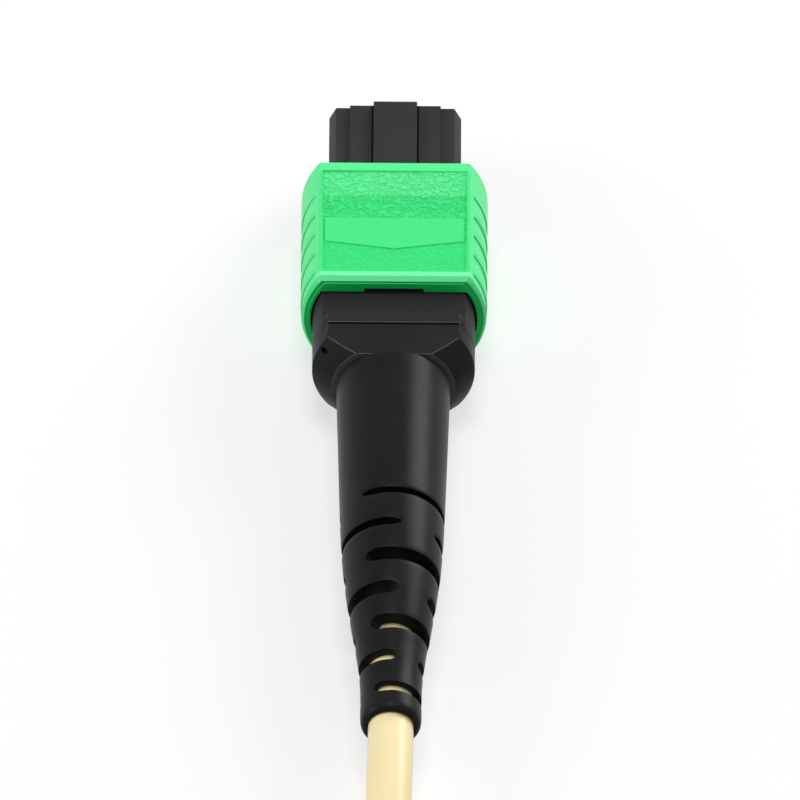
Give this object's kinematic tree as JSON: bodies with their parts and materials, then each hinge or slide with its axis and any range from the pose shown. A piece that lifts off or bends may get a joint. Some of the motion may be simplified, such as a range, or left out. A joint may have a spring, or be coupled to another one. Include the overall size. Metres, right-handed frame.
{
  "type": "mpo fibre connector",
  "caption": "Multi-fibre push-on connector with a sliding sleeve, spring-loaded twelve-fibre ferrule and slotted boot on a round pigtail cable folded into a tied hank.",
  "frame": {"origin": "centre of the plug's nose plane, on the connector's axis", "axes": "+Y is the mating direction, out of the nose; +Z is the key side; the cable leaves along -Y"},
  "size_m": [0.0297, 0.1356, 0.0126],
  "materials": {
    "housing_black": "satin moulded",
    "sleeve_green": "satin moulded, textured grip",
    "spring_steel": "bright",
    "ferrule_resin": "fine satin",
    "soft_rubber": "matt",
    "clamp_resin": "satin",
    "boot_black": "soft satin",
    "crimp_metal": "plated",
    "yarn": "fibrous",
    "jacket_yellow": "satin",
    "tie_black": "woven",
    "fibre_blue": "clear coated",
    "fibre_orange": "clear coated",
    "fibre_green": "clear coated",
    "fibre_brown": "clear coated",
    "fibre_slate": "clear coated",
    "fibre_white": "clear coated",
    "fibre_red": "clear coated",
    "fibre_black": "clear coated",
    "fibre_yellow": "clear coated",
    "fibre_violet": "clear coated",
    "fibre_rose": "clear coated",
    "fibre_aqua": "clear coated"
  },
  "bodies": {
    "housing_body": {"inner_housing": "housing_black", "spring_push": "housing_black", "crimp_ring": "crimp_metal", "aramid_yarn": "yarn", "cable_jacket": "jacket_yellow", "strain_relief_boot": "boot_black", "cable_run": "jacket_yellow", "cable_hank": "jacket_yellow", "hank_tie": "tie_black", "ferrule_spring": "spring_steel", "coupling_spring_left": "spring_steel", "coupling_spring_right": "spring_steel"},
    "sleeve_body": {"coupling": "sleeve_green"},
    "ferrule_body": {"ferrule": "ferrule_resin", "ferrule_boot": "soft_rubber", "pin_clamp": "clamp_resin", "fibre_blue": "fibre_blue", "fibre_orange": "fibre_orange", "fibre_green": "fibre_green", "fibre_brown": "fibre_brown", "fibre_slate": "fibre_slate", "fibre_white": "fibre_white", "fibre_red": "fibre_red", "fibre_black": "fibre_black", "fibre_yellow": "fibre_yellow", "fibre_violet": "fibre_violet", "fibre_rose": "fibre_rose", "fibre_aqua": "fibre_aqua"}
  },
  "joints": [
    {"name": "coupling_slide", "type": "slide", "parent": "housing_body", "child": "sleeve_body", "axis": [0, -1, 0], "range_m": [0, 0.002], "stiffness_N_per_m": 600, "springref_m": -0.003, "deforming": ["coupling_spring_left", "coupling_spring_right"]},
    {"name": "ferrule_slide", "type": "slide", "parent": "housing_body", "child": "ferrule_body", "axis": [0, -1, 0], "range_m": [0, 0.001], "stiffness_N_per_m": 1500, "springref_m": -0.003, "deforming": ["ferrule_spring"]}
  ]
}
